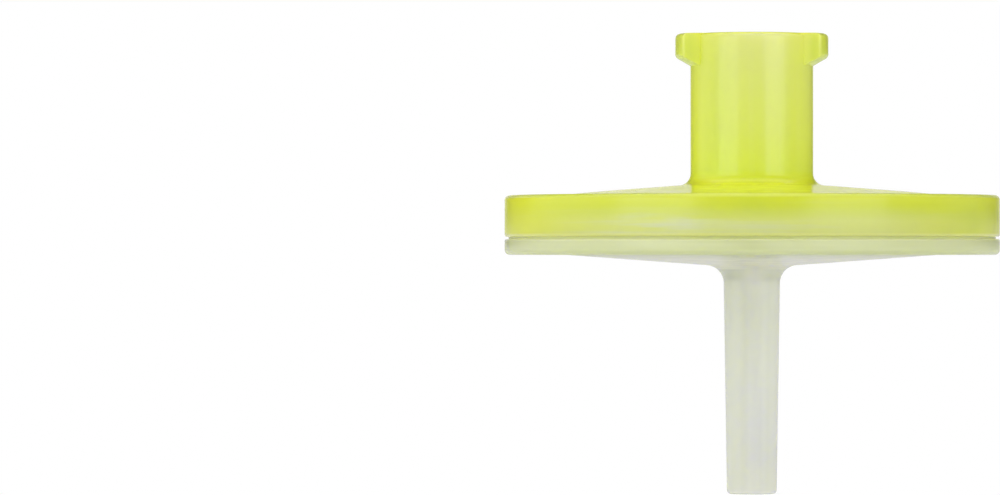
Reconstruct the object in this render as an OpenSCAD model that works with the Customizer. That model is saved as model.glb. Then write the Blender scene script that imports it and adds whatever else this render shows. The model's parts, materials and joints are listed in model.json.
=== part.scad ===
// Disc filter for a syringe: a moulded inlet half with a female Luer lock,
// a filter membrane, and a moulded outlet half with a slender outlet tip.
// The axis is Z, the inlet mouth lies at z = 0 and the tip points down.

/* [Inlet Luer] */
// Mouth diameter of the tapered socket
luer_mouth_d = 4.29; // [4.2:0.01:4.4]
// Narrowing of the socket's diameter for each millimetre of depth
luer_taper = 0.06; // [0.05:0.005:0.07]
// Depth of the socket
luer_depth = 7.3; // [6.5:0.1:8.5]
// Outside diameter of the barrel round the socket
barrel_d = 6.25; // [5.8:0.05:6.8]
// Diameter across the two locking lugs
lug_span_d = 7.8; // [7.4:0.05:8.4]
// Width of each lug
lug_w = 3.4; // [2.5:0.1:4.2]
// Height of each lug along its outer face
lug_h = 1.2; // [0.9:0.1:1.8]
// Slope of the lugs' underside, in degrees
lug_slope = 30; // [15:1:45]
// Rounding of the mouth's outer edge and of the lugs
lug_edge_r = 0.25; // [0.1:0.05:0.3]
// Rounding of the mouth's inner edge
mouth_edge_r = 0.12; // [0.05:0.01:0.2]

/* [Disc] */
// Diameter of the disc
disc_d = 25.2; // [22:0.1:30]
// Rounding of the disc's outer edges
disc_edge_r = 0.25; // [0.1:0.05:0.35]
// Height of the inlet half's skirt, from the disc's top edge to the seam
skirt_h = 2.11; // [1.9:0.01:2.8]
// Wall of the skirt
skirt_wall = 1.3; // [1:0.05:1.6]
// Width of the outlet half's rim, which stands up inside the skirt
rim_w = 1.4; // [1:0.05:2]
// Gap beside and above that rim
rim_gap = 0.05; // [0.02:0.01:0.1]
// Width of the ring that clamps the membrane's edge
clamp_w = 1.7; // [1:0.05:2.5]

/* [Inlet half] */
// Height from the disc's top edge up to the socket's floor
socket_base_h = 0.93; // [0.7:0.01:1.5]
// Wall over the groove that takes the rim
groove_wall = 0.85; // [0.6:0.05:1.1]
// Drop from the top of that groove to the membrane
clamp_h = 0.47; // [0.35:0.01:0.7]
// Height of the inlet chamber over the membrane
chamber_h = 0.18; // [0.12:0.01:0.3]
// Fillet round the edge of the chamber
chamber_fillet_r = 0.08; // [0.02:0.01:0.15]
// Diameter of the port between the socket and the chamber
port_d = 1.5; // [0.8:0.1:2.4]
// Rise of the domed top up to the barrel
dome_h = 0.55; // [0.3:0.05:0.7]
// Rise of the dome's flatter outer ring
dome_edge_h = 0.17; // [0.1:0.01:0.25]
// Fillet between the barrel and the dome
barrel_fillet_r = 0.6; // [0.2:0.05:0.9]

/* [Membrane] */
// Thickness of the membrane
membrane_t = 0.15; // [0.1:0.01:0.3]
// Radial gap between the membrane's edge and the rim
membrane_gap = 0.15; // [0.05:0.05:0.4]

/* [Outlet half] */
// Height of the groove that shows round the seam
seam_h = 0.12; // [0.05:0.01:0.2]
// Depth of that groove
seam_depth = 0.2; // [0.1:0.05:0.4]
// Thickness of the flange below the seam
flange_t = 0.8; // [0.6:0.05:1.5]
// Depth of the drain channels below the membrane
drain_depth = 0.45; // [0.2:0.05:0.6]
// Width of each support ring
rib_w = 0.45; // [0.3:0.05:0.6]
// Width of the channels between the support rings
ring_channel_w = 0.75; // [0.5:0.05:1.2]
// Number of radial drain channels
spoke_count = 8; // [4:1:12]
// Width of each radial drain channel
spoke_w = 0.8; // [0.5:0.05:1]
// Diameter of the well that the radial channels run into
well_d = 2.4; // [1.8:0.1:3]
// Depth of that well's funnel, down to the outlet bore
well_h = 0.4; // [0.1:0.05:0.5]
// Width of the flat ring under the disc's edge
under_flat_w = 3.05; // [2:0.05:5]
// Drop of the domed underside down to the tip
belly_h = 0.59; // [0.3:0.01:0.8]
// Fillet between the underside and the tip
tip_fillet_r = 0.9; // [0.3:0.05:1.5]

/* [Outlet tip] */
// Length of the tip below the disc
tip_h = 12.18; // [8:0.02:16]
// Diameter at the tip's end
tip_d = 2.54; // [2.2:0.02:3]
// Widening of the tip's diameter for each millimetre towards the disc
tip_taper = 0.03; // [0:0.005:0.05]
// Rounding of the tip's end
tip_edge_r = 0.2; // [0.1:0.05:0.3]
// Diameter of the outlet bore
tip_bore_d = 1; // [0.6:0.1:1.4]

/* [Hidden] */

$fn = 96;
arc_steps = 8;     // straight steps in each rounded corner
past = 1;          // how far a cutting shape runs past what it cuts
rib_root = 0.1;    // how far the support rings reach into the floor

barrel_r = barrel_d / 2;
lug_r = lug_span_d / 2;
well_r = well_d / 2;

// Radii of the disc, from its edge inwards
disc_r = disc_d / 2;
skirt_r = disc_r - skirt_wall;
rim_r = skirt_r - rim_gap;
rim_inner_r = rim_r - rim_w;
clamp_r = rim_inner_r - rim_gap;
filter_r = clamp_r - clamp_w;

// Levels along the axis, from the mouth down
disc_z = -luer_depth - socket_base_h;
groove_z = disc_z - groove_wall;
clamp_z = groove_z - clamp_h;
chamber_z = clamp_z + chamber_h;
support_z = clamp_z - membrane_t;
drain_z = support_z - drain_depth;
seam_z = disc_z - skirt_h;
flange_z = seam_z - seam_h;
under_z = flange_z - flange_t;
tip_z = under_z - tip_h;

// ---- Profiles: lists of [radius, height, rounding] ----

function unit(v) = v / norm(v);

function flat(p) = [p.x, p.y];

// Points of the rounded corner at b, between its neighbours a and c
function corner(a, b, c, r) =
    let (to_a = unit(a - b),
         to_c = unit(c - b),
         half = acos(to_a * to_c) / 2,
         turn = 180 - 2 * half,
         side = min(norm(a - b), norm(c - b)) / 2,
         run = min(r / tan(half), side),
         arc_r = run * tan(half),
         centre = b + unit(to_a + to_c) * arc_r / sin(half),
         first = b + to_a * run - centre,
         last = b + to_c * run - centre)
    [for (i = [0:arc_steps])
        let (t = i / arc_steps)
        centre + (first * sin((1 - t) * turn) + last * sin(t * turn)) / sin(turn)];

function rounded(points) =
    let (n = len(points))
    [for (i = [0:n - 1])
        let (p = points[i],
             before = points[(i + n - 1) % n],
             after = points[(i + 1) % n])
        each (p.z > 0 ? corner(flat(before), flat(p), flat(after), p.z) : [flat(p)])];

module turned(points) {
    rotate_extrude() polygon(rounded(points));
}

// ---- Inlet half ----

module inlet_shell() {
    mouth_r = luer_mouth_d / 2;
    floor_r = mouth_r - luer_taper * luer_depth / 2;
    port_r = port_d / 2;
    turned([
        [mouth_r, 0, mouth_edge_r],
        [floor_r, -luer_depth, 0],
        [port_r, -luer_depth, 0],
        [port_r, chamber_z, 0],
        [filter_r, chamber_z, chamber_fillet_r],
        [filter_r, clamp_z, 0],
        [clamp_r, clamp_z, 0],
        [clamp_r, groove_z, 0],
        [skirt_r, groove_z, 0],
        [skirt_r, seam_z, 0],
        [disc_r, seam_z, 0],
        [disc_r, disc_z, disc_edge_r],
        [rim_inner_r, disc_z, 0],
        [filter_r, disc_z + dome_edge_h, 0],
        [barrel_r, disc_z + dome_h, barrel_fillet_r],
        [barrel_r, 0, lug_edge_r],
    ]);
}

// Both lugs from above: flat flanks, rounded where they meet the round outer face
module lug_outline() {
    side = lug_w / 2;
    corner_y = side - lug_edge_r;
    corner_x = sqrt(pow(lug_r - lug_edge_r, 2) - corner_y * corner_y);
    face = atan2(corner_y, corner_x);
    far = lug_r + past;
    flank = [
        [0, side],
        for (i = [0:arc_steps])
            let (a = 90 + (face - 90) * i / arc_steps)
            [corner_x + lug_edge_r * cos(a), corner_y + lug_edge_r * sin(a)],
        far * [cos(face), sin(face)],
    ];
    for (turn = [0, 180], other = [0, 1])
        rotate(turn) mirror([0, other])
            polygon(concat([[0, 0]], flank, [[far, 0]]));
}

module lugs() {
    inner_r = barrel_r - lug_edge_r;
    root_h = lug_h + (lug_r - inner_r) * tan(lug_slope);
    intersection() {
        turned([
            [inner_r, 0, 0],
            [inner_r, -root_h, 0],
            [lug_r, -lug_h, lug_edge_r],
            [lug_r, 0, lug_edge_r],
        ]);
        translate([0, 0, -root_h - past])
            linear_extrude(root_h + 2 * past)
                lug_outline();
    }
}

module inlet_housing() {
    color("#d8e25e") {
        inlet_shell();
        lugs();
    }
}

// ---- Membrane ----

module membrane() {
    color("white")
        translate([0, 0, support_z])
            cylinder(r = rim_inner_r - membrane_gap, h = membrane_t);
}

// ---- Outlet half ----

// Flange, rim and tip, with an open basin under the membrane
module outlet_shell() {
    weld_r = disc_r - seam_depth;
    rim_z = groove_z - rim_gap;
    bore_r = tip_bore_d / 2;
    tip_r = tip_d / 2;
    root_r = tip_r + tip_taper * (tip_h - belly_h) / 2;
    turned([
        [bore_r, tip_z, 0],
        [bore_r, drain_z - well_h, 0],
        [well_r, drain_z, 0],
        [filter_r, drain_z, 0],
        [filter_r, support_z, 0],
        [rim_inner_r, support_z, 0],
        [rim_inner_r, rim_z, 0],
        [rim_r, rim_z, 0],
        [rim_r, seam_z, 0],
        [weld_r, seam_z, 0],
        [weld_r, flange_z, 0],
        [disc_r, flange_z, 0],
        [disc_r, under_z, disc_edge_r],
        [disc_r - under_flat_w, under_z, 0],
        [root_r, under_z - belly_h, tip_fillet_r],
        [tip_r, tip_z, tip_edge_r],
    ]);
}

// Rings that carry the membrane, broken by the radial drain channels
module support_rings() {
    pitch = rib_w + ring_channel_w;
    ring_count = floor((filter_r - well_r) / pitch);
    difference() {
        for (i = [0:ring_count - 1]) {
            outer_r = filter_r - ring_channel_w - i * pitch;
            turned([
                [outer_r, drain_z - rib_root, 0],
                [outer_r, support_z, 0],
                [outer_r - rib_w, support_z, 0],
                [outer_r - rib_w, drain_z - rib_root, 0],
            ]);
        }
        for (i = [0:spoke_count - 1])
            rotate(i * 360 / spoke_count)
                translate([0, -spoke_w / 2, drain_z])
                    cube([filter_r, spoke_w, drain_depth + past]);
    }
}

module outlet_housing() {
    color("#e4e8d8") {
        outlet_shell();
        support_rings();
    }
}

inlet_housing();
membrane();
outlet_housing();
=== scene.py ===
import json
import math

import bpy
import bmesh
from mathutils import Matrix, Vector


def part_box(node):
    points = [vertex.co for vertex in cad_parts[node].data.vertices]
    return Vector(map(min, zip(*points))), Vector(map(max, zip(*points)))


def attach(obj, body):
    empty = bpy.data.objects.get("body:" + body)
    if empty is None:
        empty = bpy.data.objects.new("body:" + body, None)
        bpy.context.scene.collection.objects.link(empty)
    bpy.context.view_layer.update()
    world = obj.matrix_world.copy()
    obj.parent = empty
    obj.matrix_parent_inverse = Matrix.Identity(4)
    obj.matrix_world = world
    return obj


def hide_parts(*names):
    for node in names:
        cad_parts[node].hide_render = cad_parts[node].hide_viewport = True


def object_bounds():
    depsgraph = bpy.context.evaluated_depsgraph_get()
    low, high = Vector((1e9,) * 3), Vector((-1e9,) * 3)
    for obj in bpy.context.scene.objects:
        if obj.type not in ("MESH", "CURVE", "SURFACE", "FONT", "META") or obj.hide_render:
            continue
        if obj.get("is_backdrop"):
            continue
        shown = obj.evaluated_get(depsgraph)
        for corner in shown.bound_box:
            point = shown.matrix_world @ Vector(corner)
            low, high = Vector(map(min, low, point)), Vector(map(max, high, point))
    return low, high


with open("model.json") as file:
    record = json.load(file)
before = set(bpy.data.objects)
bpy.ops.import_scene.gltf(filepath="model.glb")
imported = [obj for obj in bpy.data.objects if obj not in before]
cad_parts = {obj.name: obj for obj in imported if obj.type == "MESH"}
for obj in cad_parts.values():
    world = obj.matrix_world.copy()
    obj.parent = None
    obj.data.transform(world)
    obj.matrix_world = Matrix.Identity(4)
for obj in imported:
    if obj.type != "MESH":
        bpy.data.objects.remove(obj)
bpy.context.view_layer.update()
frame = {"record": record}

mm = 0.001
samePlace = 1e-7   # metres; points closer than this are one point
mounts = {m["name"]: m for m in frame["record"]["mounts"]}
inletLow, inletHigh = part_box("inlet_housing")
membraneLow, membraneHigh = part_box("membrane")
outletLow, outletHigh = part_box("outlet_housing")
print("frame loaded")


cameraSettings = {
    "distance": 300 * mm,
    "height": -10.89 * mm,   # level with the flange below the seam
    "turn": 2.452,           # degrees to the left, so the filter sits right of the middle
    "lens": 211.7,
    "sensor": 36,
    "clip": (1 * mm, 20),
}


def addCamera(s):
    bpy.ops.object.camera_add(
        location=(0, -s["distance"], s["height"]),
        rotation=(math.radians(90), 0, math.radians(s["turn"])),
    )
    camera = bpy.context.object
    camera.name = "camera"
    camera.data.lens = s["lens"]
    camera.data.sensor_width = s["sensor"]
    camera.data.clip_start, camera.data.clip_end = s["clip"]
    bpy.context.scene.camera = camera


addCamera(cameraSettings)
print("camera set")


def deselectAll():
    if bpy.context.mode != "OBJECT":
        bpy.ops.object.mode_set(mode="OBJECT")
    bpy.ops.object.select_all(action="DESELECT")


def setActive(obj):
    deselectAll()
    obj.select_set(True)
    bpy.context.view_layer.objects.active = obj


def selectVerts(test):
    # the active mesh is in edit mode; selects the vertices whose place passes the test
    mesh = bmesh.from_edit_mesh(bpy.context.object.data)
    for v in mesh.verts:
        v.select = test(v.co)
    mesh.select_flush_mode()
    bmesh.update_edit_mesh(bpy.context.object.data)


def drawLine(name, corners, closed=True, steps=8):
    # corners: (x, z, rounding) in millimetres; draws them as one line of edges in the XZ plane
    deselectAll()
    first = corners[0]
    bpy.ops.mesh.primitive_plane_add(size=1 * mm, location=(first[0] * mm, 0, first[1] * mm))
    line = bpy.context.object
    line.name = name
    bpy.ops.object.transform_apply(location=True, rotation=True, scale=True)
    bpy.ops.object.mode_set(mode="EDIT")
    bpy.ops.mesh.select_mode(type="VERT")
    bpy.ops.mesh.select_all(action="SELECT")
    bpy.ops.mesh.merge(type="CENTER")
    for a, b in zip(corners, corners[1:]):
        step = ((b[0] - a[0]) * mm, 0, (b[1] - a[1]) * mm)
        bpy.ops.mesh.extrude_region_move(TRANSFORM_OT_translate={"value": step})
    if closed:
        mesh = bmesh.from_edit_mesh(line.data)
        for v in mesh.verts:
            v.select = len(v.link_edges) == 1
        bmesh.update_edit_mesh(line.data)
        bpy.ops.mesh.edge_face_add()
    for i, (x, z, rounding) in enumerate(corners):
        if not rounding:
            continue
        before, after = corners[i - 1], corners[(i + 1) % len(corners)]
        toBefore = (before[0] - x, before[1] - z)
        toAfter = (after[0] - x, after[1] - z)
        dot = toBefore[0] * toAfter[0] + toBefore[1] * toAfter[1]
        half = math.acos(dot / math.hypot(*toBefore) / math.hypot(*toAfter)) / 2
        selectVerts(lambda co: math.hypot(co.x - x * mm, co.z - z * mm) < samePlace)
        bpy.ops.mesh.bevel(offset=rounding / math.tan(half) * mm, offset_type="OFFSET",
                           segments=steps, profile=0.5, affect="VERTICES", clamp_overlap=True)
    return line


def spinRound(line, steps=240):
    bpy.ops.mesh.select_all(action="SELECT")
    bpy.ops.mesh.spin(steps=steps, angle=math.tau, center=(0, 0, 0), axis=(0, 0, 1))
    bpy.ops.mesh.select_all(action="SELECT")
    bpy.ops.mesh.remove_doubles(threshold=samePlace)
    bpy.ops.mesh.normals_make_consistent(inside=False)
    bpy.ops.object.mode_set(mode="OBJECT")


def combine(piece, other, how):
    setActive(piece)
    cut = piece.modifiers.new("combine", "BOOLEAN")
    cut.operation = how
    cut.solver = "EXACT"
    cut.object = other
    bpy.ops.object.modifier_apply(modifier=cut.name)
    bpy.data.objects.remove(other)


# sizes of the pieces are in millimetres

inlet = {
    "barrelR": 3.125,
    "taper": 0.06,          # of the socket's diameter, for each millimetre of depth
    "mouthEdge": 0.12,
    "floorEdge": 0.08,
    "portR": 0.75,
    "portEdge": 0.06,
    "lugR": 3.9,
    "lugW": 3.4,
    "lugH": 1.2,
    "lugSlope": 30,         # degrees
    "lugEdge": 0.25,
    "lugSteps": 8,          # in the rounding of a lug's corner
    "neckH": 8.23,          # from the mouth down to the disc's top edge
    "neckFillet": 0.6,
    "domeH": 0.55,
    "domeStepH": 0.17,
    "discEdge": 0.25,
    "seamEdge": 0.1,
    "grooveWall": 0.85,     # over the outlet half's rim
    "clampR": 9.8,
    "filterR": 8.1,
    "chamberH": 0.18,
    "chamberFillet": 0.08,
    "skirtR": 11.3,
    "past": 1,              # how far the shape that cuts the lugs runs past them
    "sliver": 0.001,        # edges shorter than this are merged after the lugs are joined
}


def makeInlet(s):
    mouthR = mounts["luer_inlet"]["dims"]["r_mm"]
    depth = mounts["luer_inlet"]["dims"]["length_mm"]
    floorR = mouthR - s["taper"] * depth / 2
    discR = inletHigh.x / mm
    seamZ = inletLow.z / mm
    clampZ = membraneHigh.z / mm
    chamberZ = clampZ + s["chamberH"]
    discZ = -s["neckH"]
    grooveZ = discZ - s["grooveWall"]
    body = drawLine("inletHousing", [
        (mouthR, 0, s["mouthEdge"]),
        (floorR, -depth, s["floorEdge"]),
        (s["portR"], -depth, s["portEdge"]),
        (s["portR"], chamberZ, s["portEdge"]),
        (s["filterR"], chamberZ, s["chamberFillet"]),
        (s["filterR"], clampZ, 0),
        (s["clampR"], clampZ, 0),
        (s["clampR"], grooveZ, 0),
        (s["skirtR"], grooveZ, 0),
        (s["skirtR"], seamZ, 0),
        (discR, seamZ, s["seamEdge"]),
        (discR, discZ, s["discEdge"]),
        (s["clampR"], discZ, 0),
        (s["filterR"], discZ + s["domeStepH"], 0),
        (s["barrelR"], discZ + s["domeH"], s["neckFillet"]),
        (s["barrelR"], 0, s["lugEdge"]),
    ])
    spinRound(body)
    addLugs(body, s)
    return body


def addLugs(body, s):
    # both lugs are cut from one turned blank, then joined to the barrel
    innerR = s["barrelR"] - s["lugEdge"]
    rootH = s["lugH"] + (s["lugR"] - innerR) * math.tan(math.radians(s["lugSlope"]))
    blank = drawLine("lugBlank", [
        (innerR, 0, 0),
        (innerR, -rootH, 0),
        (s["lugR"], -s["lugH"], s["lugEdge"]),
        (s["lugR"], 0, s["lugEdge"]),
    ])
    spinRound(blank)
    combine(blank, makeLugOutline(s, rootH), "INTERSECT")
    combine(body, blank, "UNION")
    setActive(body)
    bpy.ops.object.mode_set(mode="EDIT")
    bpy.ops.mesh.select_all(action="SELECT")
    bpy.ops.mesh.dissolve_degenerate(threshold=s["sliver"] * mm)
    bpy.ops.mesh.remove_doubles(threshold=s["sliver"] * mm)
    bpy.ops.object.mode_set(mode="OBJECT")


def makeLugOutline(s, rootH):
    # a bar through both lugs, which spreads beyond the rounded corners of each
    side = s["lugW"] / 2
    cornerY = side - s["lugEdge"]
    cornerX = math.sqrt((s["lugR"] - s["lugEdge"]) ** 2 - cornerY ** 2)
    face = math.atan2(cornerY, cornerX)
    far = s["lugR"] + s["past"]
    flank = []
    for i in range(1, s["lugSteps"] + 1):
        angle = math.pi / 2 + (face - math.pi / 2) * i / s["lugSteps"]
        flank.append((cornerX + s["lugEdge"] * math.cos(angle), cornerY + s["lugEdge"] * math.sin(angle)))
    flank.append((far * math.cos(face), far * math.sin(face)))

    deselectAll()
    bpy.ops.mesh.primitive_cube_add(size=1, location=(0, 0, -rootH / 2 * mm))
    bar = bpy.context.object
    bar.dimensions = (2 * cornerX * mm, 2 * side * mm, (rootH + 2 * s["past"]) * mm)
    bpy.ops.object.transform_apply(location=True, rotation=True, scale=True)
    bpy.ops.object.mode_set(mode="EDIT")
    for end in (1, -1):
        edgeX, edgeY = cornerX, side
        for x, y in flank:
            selectVerts(lambda co: abs(co.x - end * edgeX * mm) < samePlace)
            step = (end * (x - edgeX) * mm, 0, 0)
            bpy.ops.mesh.extrude_region_move(TRANSFORM_OT_translate={"value": step})
            bpy.ops.transform.resize(value=(1, y / edgeY, 1), center_override=(0, 0, 0))
            edgeX, edgeY = x, y
    bpy.ops.object.mode_set(mode="OBJECT")
    return bar


inletHousing = makeInlet(inlet)
print("inlet half modelled:", len(inletHousing.data.polygons), "faces")


membrane = {
    "clearance": 0.01,      # kept free above and below, so its faces never touch the housing's
    "edgeSqueeze": 0.02,    # taken off each face of the clamped edge
    "clampStep": 0.1,       # how gently it thins there
    "edgeR": 0.03,
    "edgeSteps": 3,
}


def makeMembrane(s):
    outerR = membraneHigh.x / mm
    filterR = inlet["filterR"]
    top = membraneHigh.z / mm - s["clearance"]
    bottom = membraneLow.z / mm + s["clearance"]
    sheet = drawLine("membraneSheet", [
        (0, bottom, 0),
        (filterR - s["clampStep"], bottom, 0),
        (filterR + s["clampStep"], bottom + s["edgeSqueeze"], 0),
        (outerR, bottom + s["edgeSqueeze"], s["edgeR"]),
        (outerR, top - s["edgeSqueeze"], s["edgeR"]),
        (filterR + s["clampStep"], top - s["edgeSqueeze"], 0),
        (filterR - s["clampStep"], top, 0),
        (0, top, 0),
    ], closed=False, steps=s["edgeSteps"])
    spinRound(sheet)
    return sheet


membraneSheet = makeMembrane(membrane)
print("membrane modelled:", len(membraneSheet.data.polygons), "faces")


outlet = {
    "seamGap": 0.015,       # keeps the two halves' faces just apart
    "seamH": 0.12,
    "seamDepth": 0.2,
    "flangeT": 0.8,
    "flangeEdge": 0.1,
    "discEdge": 0.25,
    "rimR": 11.25,          # the rim that stands up in the inlet half's groove
    "rimInnerR": 9.85,
    "rimEdge": 0.04,
    "filterR": 8.1,
    "drainDepth": 0.45,
    "ribW": 0.45,
    "ribEdge": 0.05,
    "channelW": 0.75,
    "spokeCount": 8,
    "spokeW": 0.8,
    "spokeCutH": 1,         # how high the channels are cut from their floor
    "wellR": 1.2,
    "wellH": 0.4,
    "flatW": 3.05,
    "bellyH": 0.59,
    "tipFillet": 0.9,
    "tipTaper": 0.03,       # of its diameter, for each millimetre towards the disc
    "tipEdge": 0.2,
    "boreR": 0.5,
    "boreEdge": 0.06,
}


def makeOutlet(s):
    discR = outletHigh.x / mm
    tipZ = outletLow.z / mm
    rimZ = outletHigh.z / mm
    supportZ = membraneLow.z / mm
    drainZ = supportZ - s["drainDepth"]
    seamZ = inletLow.z / mm
    flangeZ = seamZ - s["seamH"]
    underZ = flangeZ - s["flangeT"]
    bellyZ = underZ - s["bellyH"]
    tipR = mounts["outlet_tip"]["dims"]["r_mm"]
    rootR = tipR + s["tipTaper"] * (bellyZ - tipZ) / 2
    weldR = discR - s["seamDepth"]
    corners = [
        (s["boreR"], tipZ, s["boreEdge"]),
        (s["boreR"], drainZ - s["wellH"], 0),
        (s["wellR"], drainZ, 0),
    ]
    # the support rings, from the inside out
    pitch = s["ribW"] + s["channelW"]
    ringCount = int((s["filterR"] - s["wellR"]) / pitch)
    for i in reversed(range(ringCount)):
        outer = s["filterR"] - s["channelW"] - i * pitch
        inner = outer - s["ribW"]
        corners += [
            (inner, drainZ, 0),
            (inner, supportZ, s["ribEdge"]),
            (outer, supportZ, s["ribEdge"]),
            (outer, drainZ, 0),
        ]
    corners += [
        (s["filterR"], drainZ, 0),
        (s["filterR"], supportZ, s["rimEdge"]),
        (s["rimInnerR"], supportZ, 0),
        (s["rimInnerR"], rimZ, s["rimEdge"]),
        (s["rimR"], rimZ, s["rimEdge"]),
        (s["rimR"], seamZ - s["seamGap"], 0),
        (weldR, seamZ - s["seamGap"], 0),
        (weldR, flangeZ, 0),
        (discR, flangeZ, s["flangeEdge"]),
        (discR, underZ, s["discEdge"]),
        (discR - s["flatW"], underZ, 0),
        (rootR, bellyZ, s["tipFillet"]),
        (tipR, tipZ, s["tipEdge"]),
    ]
    body = drawLine("outletHousing", corners)
    spinRound(body)
    cutDrains(body, s, drainZ)
    return body


def cutDrains(body, s, drainZ):
    # one long bar cuts two channels, one on each side of the well
    length = 2 * (s["filterR"] - s["channelW"] / 2)
    for i in range(s["spokeCount"] // 2):
        deselectAll()
        bpy.ops.mesh.primitive_cube_add(size=1, location=(0, 0, (drainZ + s["spokeCutH"] / 2) * mm))
        bar = bpy.context.object
        bar.dimensions = (length * mm, s["spokeW"] * mm, s["spokeCutH"] * mm)
        bar.rotation_euler.z = math.tau * i / s["spokeCount"]
        bpy.ops.object.transform_apply(location=True, rotation=True, scale=True)
        combine(body, bar, "DIFFERENCE")


outletHousing = makeOutlet(outlet)
print("outlet half modelled:", len(outletHousing.data.polygons), "faces")


def newMaterial(name):
    material = bpy.data.materials.new(name)
    material.use_nodes = True
    tree = material.node_tree
    return material, tree, tree.nodes["Principled BSDF"]


def setOrLink(tree, value, socket):
    # value: a number, a colour or another node's socket
    if isinstance(value, (int, float)):
        socket.default_value = value
    elif isinstance(value, tuple):
        socket.default_value = (*value, 1)
    else:
        tree.links.new(value, socket)


def calc(tree, how, a, b=0):
    node = tree.nodes.new("ShaderNodeMath")
    node.operation = how
    setOrLink(tree, a, node.inputs[0])
    setOrLink(tree, b, node.inputs[1])
    return node.outputs["Value"]


def times(tree, a, b):
    return calc(tree, "MULTIPLY", a, b)


def plus(tree, a, b):
    return calc(tree, "ADD", a, b)


def mapRange(tree, value, source, target, smooth=False):
    node = tree.nodes.new("ShaderNodeMapRange")
    node.interpolation_type = "SMOOTHSTEP" if smooth else "LINEAR"
    setOrLink(tree, value, node.inputs["Value"])
    for name, end in zip(("From Min", "From Max", "To Min", "To Max"), (*source, *target)):
        setOrLink(tree, end, node.inputs[name])
    return node.outputs["Result"]


def fade(tree, value, reach, target=(1, 0)):
    # changes gently between two places in millimetres
    return mapRange(tree, value, [place * mm for place in reach], target, smooth=True)


def rampAlong(tree, value, points, unit=mm):
    # points: (value in units, number or colour)
    low, high = points[0][0] * unit, points[-1][0] * unit
    ramp = tree.nodes.new("ShaderNodeValToRGB")
    tree.links.new(mapRange(tree, value, (low, high), (0, 1)), ramp.inputs["Fac"])
    stops = ramp.color_ramp.elements
    while len(stops) < len(points):
        stops.new(0.5)
    for stop, (place, shade) in zip(stops, points):
        stop.position = (place * unit - low) / (high - low)
        stop.color = (*shade, 1) if isinstance(shade, tuple) else (shade, shade, shade, 1)
    return ramp.outputs["Color"]


def noise(tree, coords, scale, target, source=(0.35, 0.65), detail=2):
    # scale: features for each metre along X, Y and Z; the levels in source become those in target
    place = tree.nodes.new("ShaderNodeMapping")
    place.inputs["Scale"].default_value = scale
    tree.links.new(coords, place.inputs["Vector"])
    texture = tree.nodes.new("ShaderNodeTexNoise")
    texture.inputs["Scale"].default_value = 1
    texture.inputs["Detail"].default_value = detail
    tree.links.new(place.outputs["Vector"], texture.inputs["Vector"])
    return mapRange(tree, texture.outputs["Fac"], source, target)


def bump(tree, height, distance):
    node = tree.nodes.new("ShaderNodeBump")
    node.inputs["Distance"].default_value = distance
    tree.links.new(height, node.inputs["Height"])
    return node.outputs["Normal"]


def mixColour(tree, share, a, b):
    mix = tree.nodes.new("ShaderNodeMix")
    mix.data_type = "RGBA"
    tree.links.new(share, mix.inputs["Factor"])
    setOrLink(tree, a, mix.inputs["A"])
    setOrLink(tree, b, mix.inputs["B"])
    return mix.outputs["Result"]


def objectPlace(tree):
    # places on the piece; right runs from -1 at its left edge to 1 at its right edge
    coords = tree.nodes.new("ShaderNodeTexCoord").outputs["Object"]
    axes = tree.nodes.new("ShaderNodeSeparateXYZ")
    tree.links.new(coords, axes.inputs["Vector"])
    x, y, height = axes.outputs["X"], axes.outputs["Y"], axes.outputs["Z"]
    radius = calc(tree, "SQRT", plus(tree, calc(tree, "POWER", x, 2), calc(tree, "POWER", y, 2)))
    right = calc(tree, "DIVIDE", x, radius)
    return {"coords": coords, "x": x, "y": y, "height": height, "radius": radius, "right": right}


# the finishes: a place is a height or a distance from the axis in millimetres, but in the lines marked
# "across" it runs from -1 at the left edge to 1 at the right edge; streaks and marks give the features
# for each metre along X, Y and Z, then their least and most, and the levels of the noise for these

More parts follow.
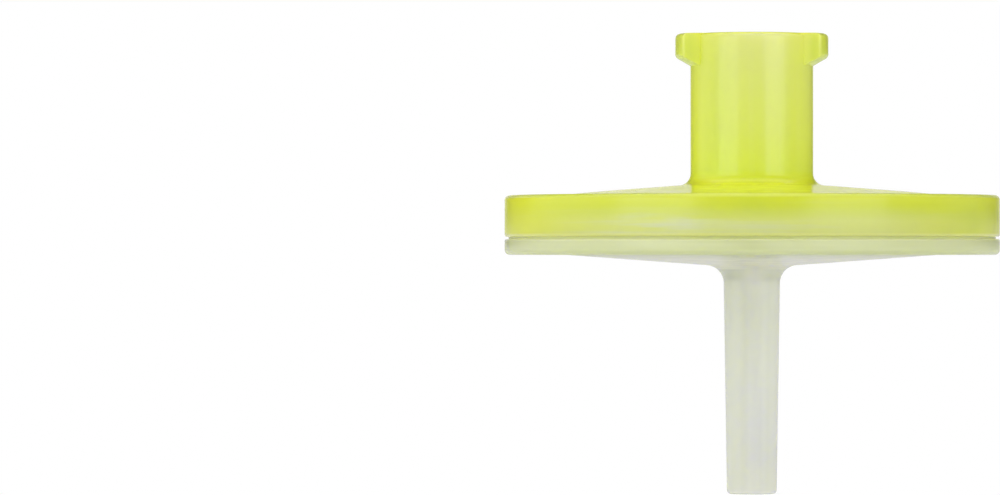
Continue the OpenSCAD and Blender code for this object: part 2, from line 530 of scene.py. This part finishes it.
yellow = {
    "deepColour": (0.8, 0.87, 0.05),    # where the plastic is thick
    "paleColour": (0.81, 0.87, 0.6),    # where it is thin, or the pale half shows through
    "shadeColour": (0.60, 0.68, 0.05),
    # the barrel
    "barrelEnd": -7.3,
    "barrelColour": (0.79, 0.79, 0.6),
    "barrelPale": [(-7.6, 0.0), (-7.0, 0.2), (-3.9, 0.33), (-0.5, 0.5), (-0.12, 0.55), (-0.06, 0.1),
                   (0.0, 0.1)],
    "barrelDepth": [(-1, 0.68), (-0.85, 0.68), (-0.7, 0.5), (-0.5, 0.12), (-0.35, 0.0), (0.4, 0.0),
                    (0.55, 0.2), (0.7, 0.5), (0.8, 0.5), (0.95, 0.2)],      # across
    "barrelShade": [(-0.95, 0.0), (-0.75, 0.4), (-0.5, 0.4), (-0.36, 0.3), (-0.15, 0.05),
                    (0.0, 0.0)],                                            # across
    "barrelStreaks": ((1500, 1500, 45), (0.0, 0.08), (0.5, 0.7)),
    # painted shade on the lugs, painted light in the socket and on its thick floor
    "lugShadeColour": (0.66, 0.74, 0.13),
    "lugReach": (3.15, 3.6),
    "socketColour": (0.93, 1.0, 0.35),
    "socketReach": (2.15, 2.3),
    "floorColour": (0.88, 1.0, 0.05),
    "floorReach": (3.4, 4.4),
    "floorGlow": [(-8.3, 1.0), (-7.8, 1.0), (-7.0, 0.3), (-5.0, 0.0), (0.0, 0.0)],
    # the roof
    "roofEnd": -8.4,
    "roofColour": (0.84, 1.0, 0.04),
    "roofPale": [(9.7, 0.0), (10.0, 0.42), (11.3, 0.48), (11.7, 0.36), (12.2, 0.34), (12.5, 0.36)],
    "knit": 0.12,
    "knitWidth": (0.03, 0.2),           # from the line's middle
    "knitEnd": 9.5,
    # the wall round the disc
    "wallStart": 12.3,
    "wallPale": [(-10.34, 0.4), (-9.5, 0.4), (-8.5, 0.12), (-8.2, 0.08)],
    "wallDepth": ((0.5, 0.95), (1.0, 0.1)),                                 # across
    "wallShade": [(-9.6, 0.0), (-8.8, 0.7), (-8.2, 0.8)],
    "wallShadeEnds": ((0.75, 0.97), (1.0, 0.1)),                            # across
    "wallStreaks": ((110, 110, 2400), (0.0, 0.3), (0.5, 0.75)),
    "endColour": (0.6, 0.7, 0.14),
    "endShade": [(0.72, 0.0), (0.88, 0.5), (0.94, 0.45), (0.99, 0.2)],      # across
    # flow marks on the wall's front, partly a painted highlight
    "marksAndHighlight": ((260, 260, 2600), (0.0, 0.42), (0.42, 0.68)),
    "patchMiddle": -0.36,                                                   # across
    "patchReach": (0.1, 0.24),                                              # across
    "patchHeight": [(-10.2, 0.0), (-9.9, 1.0), (-9.2, 1.0), (-8.8, 0.0)],
    # painted light along the seam
    "seamColour": (0.95, 1.0, 0.30),
    "seamReach": (0.05, 0.2),           # above the seam
    # the gloss and the inside
    "wallRoughness": 0.21,
    "roofRoughness": 0.18,
    "dullness": ((900, 900, 900), (-0.025, 0.025)),     # added to the roughness
    "waves": (350, 350, 350),
    "waveHeight": 0.006 * mm,
    "ior": 1.49,
    "milk": 0.85,                       # share of the light that scatters in the plastic
    "scatterDepth": 2 * mm,
    "scatterSpread": (1, 1, 0.4),       # of that depth for red, green and blue
    "clearColour": (0.95, 1.0, 0.93),
    "absorbColour": (1.0, 1.0, 0.0),
    "absorbDensity": 450,
}


def yellowLook(tree, s):
    place = objectPlace(tree)
    coords, height, radius, right = place["coords"], place["height"], place["radius"], place["right"]
    isBarrel = calc(tree, "GREATER_THAN", height, s["barrelEnd"] * mm)
    isRoof = calc(tree, "SUBTRACT", calc(tree, "GREATER_THAN", height, s["roofEnd"] * mm), isBarrel)
    isWall = calc(tree, "GREATER_THAN", radius, s["wallStart"] * mm)

    # paler up the thin barrel, and where the other half's rim stands close behind the wall
    wall = times(tree, rampAlong(tree, height, s["wallPale"]), isWall)
    pale = calc(tree, "MAXIMUM", rampAlong(tree, height, s["barrelPale"]), wall)
    # streaks that the melt left round the wall and up the barrel
    pale = plus(tree, pale, times(tree, noise(tree, coords, *s["wallStreaks"]), isWall))
    pale = plus(tree, pale, times(tree, noise(tree, coords, *s["barrelStreaks"]), isBarrel))
    # a patch of flow marks on the front, left of the wall's middle, that is partly a painted highlight
    away = calc(tree, "ABSOLUTE", calc(tree, "SUBTRACT", right, s["patchMiddle"]))
    marksAndHighlight = mapRange(tree, away, s["patchReach"], (1, 0), smooth=True)
    marksAndHighlight = times(tree, marksAndHighlight, rampAlong(tree, height, s["patchHeight"]))
    marksAndHighlight = times(tree, marksAndHighlight, noise(tree, coords, *s["marksAndHighlight"]))
    isFront = calc(tree, "LESS_THAN", place["y"], 0)
    pale = plus(tree, pale, times(tree, marksAndHighlight, times(tree, isWall, isFront)))
    # deeper towards the wall's ends and the barrel's left and right
    aside = times(tree, calc(tree, "ABSOLUTE", right), isWall)
    thin = mapRange(tree, aside, *s["wallDepth"], smooth=True)
    thin = calc(tree, "SUBTRACT", thin, times(tree, rampAlong(tree, right, s["barrelDepth"], 1), isBarrel))
    pale = times(tree, pale, thin)
    # the roof is paler over the other half's rim, and along the knit line where the melt met again
    pale = calc(tree, "MAXIMUM", pale, times(tree, rampAlong(tree, radius, s["roofPale"]), isRoof))
    knitWidth = [width * mm for width in s["knitWidth"]]
    knit = mapRange(tree, calc(tree, "ABSOLUTE", place["x"]), knitWidth, (s["knit"], 0))
    knit = times(tree, knit, calc(tree, "GREATER_THAN", place["y"], 0))
    knit = times(tree, knit, calc(tree, "LESS_THAN", radius, s["knitEnd"] * mm))
    pale = plus(tree, pale, times(tree, knit, isRoof))
    deep = mixColour(tree, isRoof, s["deepColour"], s["roofColour"])
    light = mixColour(tree, isBarrel, s["paleColour"], s["barrelColour"])
    tint = mixColour(tree, pale, deep, light)

    # the wall's top and the barrel's left take less light, and so does the wall's right end
    shade = times(tree, rampAlong(tree, height, s["wallShade"]), isWall)
    shade = times(tree, shade, mapRange(tree, aside, *s["wallShadeEnds"], smooth=True))
    dim = times(tree, rampAlong(tree, right, s["barrelShade"], 1), isBarrel)
    tint = mixColour(tree, plus(tree, shade, dim), tint, s["shadeColour"])
    end = times(tree, rampAlong(tree, right, s["endShade"], 1), isWall)
    tint = mixColour(tree, end, tint, s["endColour"])
    # painted light on the socket's thick floor, painted shade on the lugs, and painted light gathered in
    # the socket
    floor = times(tree, fade(tree, radius, s["floorReach"]), rampAlong(tree, height, s["floorGlow"]))
    tint = mixColour(tree, floor, tint, s["floorColour"])
    lugShade = times(tree, fade(tree, radius, s["lugReach"], (0, 1)), isBarrel)
    tint = mixColour(tree, lugShade, tint, s["lugShadeColour"])
    tint = mixColour(tree, fade(tree, radius, s["socketReach"]), tint, s["socketColour"])
    # painted light: the seam is painted paler, as if lit through the weld
    seamReach = [inletLow.z / mm + above for above in s["seamReach"]]
    tint = mixColour(tree, fade(tree, height, seamReach), tint, s["seamColour"])

    # the roof is polished, the walls are a little duller
    roughness = mapRange(tree, isRoof, (0, 1), (s["wallRoughness"], s["roofRoughness"]))
    roughness = plus(tree, roughness, noise(tree, coords, *s["dullness"]))
    waves = noise(tree, coords, s["waves"], (0, 1))
    return tint, roughness, bump(tree, waves, s["waveHeight"])


natural = {
    # the tip's tint, with painted light: the yellow half's glow near the seam and on the flange, and a
    # lighter band under the disc
    "tintAndGlowByHeight": [
        (-23.4, (0.84, 0.85, 0.79)),
        (-20, (0.87, 0.88, 0.84)),
        (-14, (0.84, 0.86, 0.77)),
        (-12.5, (0.93, 0.95, 0.82)),
        (-11.5, (0.94, 0.96, 0.71)),
        (-11.25, (0.62, 0.68, 0.37)),
        (-10.95, (0.64, 0.69, 0.41)),
        (-10.55, (0.67, 0.71, 0.39)),
        (-10.46, (0.95, 0.98, 0.50)),
        (-10.3, (0.95, 0.98, 0.50)),
        (-9, (0.75, 0.80, 0.46)),
    ],
    "streakColour": (0.86, 0.88, 0.70),
    "streaks": ((110, 110, 2400), (0.0, 0.2), (0.5, 0.75)),
    "shadeColour": (0.62, 0.64, 0.55),
    "tipTop": -12.0,
    "tipShade": [(-1.0, 0.6), (-0.75, 0.65), (-0.4, 0.45), (-0.1, 0.0), (0.25, 0.0), (0.6, 0.4),
                 (1.0, 0.3)],                                               # across
    "roughness": ((900, 900, 900), (0.195, 0.245)),
    "waves": (350, 350, 350),
    "waveHeight": 0.006 * mm,
    "ior": 1.49,
    "milk": 0.85,
    "scatterDepth": 2 * mm,
    "scatterSpread": (1, 1, 0.4),       # of that depth for red, green and blue
    "clearColour": (0.98, 1.0, 0.97),
    "absorbColour": (0.99, 1.0, 0.90),
    "absorbDensity": 100,
}


def naturalLook(tree, s):
    # painted light: the yellow half's glow is painted into this one near the seam and on the flange, and
    # the tip's top under the disc is painted lighter
    place = objectPlace(tree)
    tint = rampAlong(tree, place["height"], s["tintAndGlowByHeight"])
    tint = mixColour(tree, noise(tree, place["coords"], *s["streaks"]), tint, s["streakColour"])
    # painted shade: the tip is darker towards its left and right
    isTip = calc(tree, "LESS_THAN", place["height"], s["tipTop"] * mm)
    shade = times(tree, rampAlong(tree, place["right"], s["tipShade"], 1), isTip)
    tint = mixColour(tree, shade, tint, s["shadeColour"])
    roughness = noise(tree, place["coords"], *s["roughness"])
    waves = noise(tree, place["coords"], s["waves"], (0, 1))
    return tint, roughness, bump(tree, waves, s["waveHeight"])


def milkyPlastic(name, s, makeLook):
    # clear plastic whose skin scatters a share of the light that meets it from outside
    material, tree, clear = newMaterial(name)
    tint, roughness, normal = makeLook(tree, s)
    clear.inputs["Base Color"].default_value = (*s["clearColour"], 1)
    clear.inputs["Transmission Weight"].default_value = 1
    milk = tree.nodes.new("ShaderNodeBsdfPrincipled")
    tree.links.new(tint, milk.inputs["Base Color"])
    milk.inputs["Subsurface Weight"].default_value = 1
    milk.inputs["Subsurface Radius"].default_value = s["scatterSpread"]
    milk.inputs["Subsurface Scale"].default_value = s["scatterDepth"]
    for shader in (clear, milk):
        tree.links.new(roughness, shader.inputs["Roughness"])
        tree.links.new(normal, shader.inputs["Normal"])
        shader.inputs["IOR"].default_value = s["ior"]
    side = tree.nodes.new("ShaderNodeNewGeometry")
    mix = tree.nodes.new("ShaderNodeMixShader")
    share = mapRange(tree, side.outputs["Backfacing"], (0, 1), (s["milk"], 0))
    tree.links.new(share, mix.inputs["Fac"])
    tree.links.new(clear.outputs["BSDF"], mix.inputs[1])
    tree.links.new(milk.outputs["BSDF"], mix.inputs[2])
    tree.links.new(mix.outputs["Shader"], tree.nodes["Material Output"].inputs["Surface"])
    absorb = tree.nodes.new("ShaderNodeVolumeAbsorption")
    absorb.inputs["Color"].default_value = (*s["absorbColour"], 1)
    absorb.inputs["Density"].default_value = s["absorbDensity"]
    tree.links.new(absorb.outputs["Volume"], tree.nodes["Material Output"].inputs["Volume"])
    return material


film = {
    "colour": (0.93, 0.93, 0.91),
    "fibreColour": (0.86, 0.87, 0.84),
    "fibres": (6000, 6000, 6000),       # for each metre
    "fibreDetail": 4,
    "fibreHeight": 0.01 * mm,
    "roughness": 0.7,
}


def membraneFilm(s):
    # a matt felt of fine fibres
    material, tree, shader = newMaterial("membraneFilm")
    coords = tree.nodes.new("ShaderNodeTexCoord").outputs["Object"]
    fibres = noise(tree, coords, s["fibres"], (0, 1), detail=s["fibreDetail"])
    tree.links.new(mixColour(tree, fibres, s["colour"], s["fibreColour"]), shader.inputs["Base Color"])
    tree.links.new(bump(tree, fibres, s["fibreHeight"]), shader.inputs["Normal"])
    shader.inputs["Roughness"].default_value = s["roughness"]
    return material


def dress(piece, material, node, smoothAngle=32):
    setActive(piece)
    bpy.ops.object.shade_smooth_by_angle(angle=math.radians(smoothAngle))
    piece.data.materials.clear()
    piece.data.materials.append(material)
    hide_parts(node)
    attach(piece, "root")


yellowPlastic = milkyPlastic("yellowPlastic", yellow, yellowLook)
dress(inletHousing, yellowPlastic, "inlet_housing")
dress(membraneSheet, membraneFilm(film), "membrane")
naturalPlastic = milkyPlastic("naturalPlastic", natural, naturalLook)
dress(outletHousing, naturalPlastic, "outlet_housing")
print("finishes done")


studio = {
    "floorDrop": 12 * mm,               # below the tip
    "floorSize": 6.0,
    "floorColour": (0.88, 0.88, 0.88),
    "floorRoughness": 0.6,
    "floorFade": (30, 75),              # mm from the middle, where the lit floor gives way to plain white
    "floorLevel": 0.73,                 # of that white, in reflections and through the plastic
    "floorLift": 0.28,                  # light added where the camera sees the lit floor
    "backdrop": [(0, 0.85), (8, 0.85), (22, 0.0), (180, 0.0)],      # (degrees from straight behind, level)
    "flags": [(0, 0.0), (22, 0.08), (50, 0.08), (75, 1.0), (100, 1.0), (125, 0.55), (180, 0.55)],
    "room": [(-1, 1.2), (-0.5, 0.65), (0, 0.42), (1, 0.48)],        # (how far left or right, level)
    "ceilingEdge": (30, 65),            # degrees up, where the room's light gives way to the ceiling's
    "ceilingLevel": 0.5,
    "softboxDistance": 0.6,             # metres, as its size is
    "softboxRise": 50 * mm,
    "softboxAngle": 45,                 # degrees to the left and right of the camera's side
    "softboxSize": (0.42, 0.5),
    "softboxRadiance": (1.8, 1.9),      # left, right
    "fillAngle": 140,                   # counted the same way
    "fillRadiance": 0.6,
    "overheadLevel": 0.42,
    "overheadAngle": 80,                # degrees across
    "clearBounces": 32,
    "otherBounces": 12,
}


def makeWorld(s):
    # a pale backdrop straight behind, dark flags beside it, a room to the left and right, and a ceiling
    world = bpy.data.worlds.new("studio")
    bpy.context.scene.world = world
    world.use_nodes = True
    tree = world.node_tree
    background = tree.nodes["Background"]
    background.inputs["Color"].default_value = (1, 1, 1, 1)
    axes = tree.nodes.new("ShaderNodeSeparateXYZ")
    tree.links.new(tree.nodes.new("ShaderNodeTexCoord").outputs["Generated"], axes.inputs["Vector"])
    turn = calc(tree, "ARCCOSINE", axes.outputs["Y"])
    backdrop = rampAlong(tree, turn, s["backdrop"], math.radians(1))
    flags = rampAlong(tree, turn, s["flags"], math.radians(1))
    room = rampAlong(tree, axes.outputs["X"], s["room"], 1)
    ceilingEdge = [math.sin(math.radians(angle)) for angle in s["ceilingEdge"]]
    room = mapRange(tree, axes.outputs["Z"], ceilingEdge, (room, s["ceilingLevel"]), smooth=True)
    lit = plus(tree, backdrop, times(tree, room, flags))
    # plain white to the camera, and to what it sees through the plastic
    path = tree.nodes.new("ShaderNodeLightPath")
    seen = calc(tree, "MAXIMUM", path.outputs["Is Camera Ray"], path.outputs["Is Transmission Ray"])
    tree.links.new(mapRange(tree, seen, (0, 1), (lit, 1)), background.inputs["Strength"])


def mixShaders(tree, share, a, b):
    mix = tree.nodes.new("ShaderNodeMixShader")
    tree.links.new(share, mix.inputs["Fac"])
    tree.links.new(a, mix.inputs[1])
    tree.links.new(b, mix.inputs[2])
    return mix.outputs["Shader"]


def glowing(tree, strength):
    glow = tree.nodes.new("ShaderNodeEmission")
    tree.links.new(strength, glow.inputs["Strength"])
    return glow.outputs["Emission"]


def makeFloor(s):
    # a white floor that keeps the shadow near the object and fades into the backdrop
    deselectAll()
    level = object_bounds()[0].z - s["floorDrop"]
    bpy.ops.mesh.primitive_plane_add(size=s["floorSize"], location=(0, 0, level))
    floor = bpy.context.object
    floor.name = "floor"
    bpy.ops.object.transform_apply(location=True, rotation=True, scale=True)
    material, tree, shader = newMaterial("floorWhite")
    shader.inputs["Base Color"].default_value = (*s["floorColour"], 1)
    shader.inputs["Roughness"].default_value = s["floorRoughness"]
    path = tree.nodes.new("ShaderNodeLightPath")
    camera = path.outputs["Is Camera Ray"]
    # near the object the camera sees the lit floor, raised so that only the shadow is below white
    lit = tree.nodes.new("ShaderNodeAddShader")
    tree.links.new(shader.outputs["BSDF"], lit.inputs[0])
    tree.links.new(glowing(tree, times(tree, camera, s["floorLift"])), lit.inputs[1])
    # further out it is plain white, also in reflections and through the plastic
    distance = tree.nodes.new("ShaderNodeVectorMath")
    distance.operation = "LENGTH"
    tree.links.new(tree.nodes.new("ShaderNodeTexCoord").outputs["Object"], distance.inputs[0])
    seen = calc(tree, "MAXIMUM", camera, path.outputs["Is Glossy Ray"])
    seen = calc(tree, "MAXIMUM", seen, path.outputs["Is Transmission Ray"])
    far = times(tree, fade(tree, distance.outputs["Value"], s["floorFade"], (0, 1)), seen)
    white = glowing(tree, mapRange(tree, camera, (0, 1), (s["floorLevel"], 1)))
    shown = mixShaders(tree, far, lit.outputs["Shader"], white)
    # from below the camera looks through it
    below = times(tree, camera, tree.nodes.new("ShaderNodeNewGeometry").outputs["Backfacing"])
    clear = tree.nodes.new("ShaderNodeBsdfTransparent").outputs["BSDF"]
    surface = tree.nodes["Material Output"].inputs["Surface"]
    tree.links.new(mixShaders(tree, below, shown, clear), surface)
    floor.data.materials.append(material)
    floor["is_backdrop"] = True


def addSoftbox(name, angle, radiance, s):
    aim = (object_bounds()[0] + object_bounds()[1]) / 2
    turn = math.radians(angle)
    away = s["softboxDistance"]
    place = (aim.x + away * math.sin(turn), aim.y - away * math.cos(turn), aim.z + s["softboxRise"])
    deselectAll()
    bpy.ops.object.light_add(type="AREA", location=place, rotation=(math.radians(90), 0, turn))
    lamp = bpy.context.object
    lamp.name = name
    lamp.data.shape = "RECTANGLE"
    lamp.data.size, lamp.data.size_y = s["softboxSize"]
    lamp.data.energy = radiance * math.pi * s["softboxSize"][0] * s["softboxSize"][1]
    lamp.visible_camera = False
    return lamp


def addFill(name, angle, s):
    # a weak light from behind that no reflection shows
    lamp = addSoftbox(name, angle, s["fillRadiance"], s)
    lamp.visible_glossy = False
    lamp.visible_transmission = False


def addOverhead(s):
    # a soft light straight above, which reaches the socket's floor
    deselectAll()
    bpy.ops.object.light_add(type="SUN", location=(0, 0, s["softboxDistance"]))
    lamp = bpy.context.object
    lamp.name = "overhead"
    lamp.data.energy = s["overheadLevel"] * math.pi
    lamp.data.angle = math.radians(s["overheadAngle"])


def setRender(s):
    scene = bpy.context.scene
    scene.view_settings.view_transform = "Standard"
    scene.cycles.max_bounces = s["clearBounces"]
    scene.cycles.transmission_bounces = s["clearBounces"]
    scene.cycles.glossy_bounces = s["otherBounces"]
    scene.cycles.diffuse_bounces = s["otherBounces"]


makeWorld(studio)
makeFloor(studio)
addOverhead(studio)
addSoftbox("softboxLeft", -studio["softboxAngle"], studio["softboxRadiance"][0], studio)
addSoftbox("softboxRight", studio["softboxAngle"], studio["softboxRadiance"][1], studio)
addFill("fillLeft", -studio["fillAngle"], studio)
addFill("fillRight", studio["fillAngle"], studio)
setRender(studio)
print("studio set")
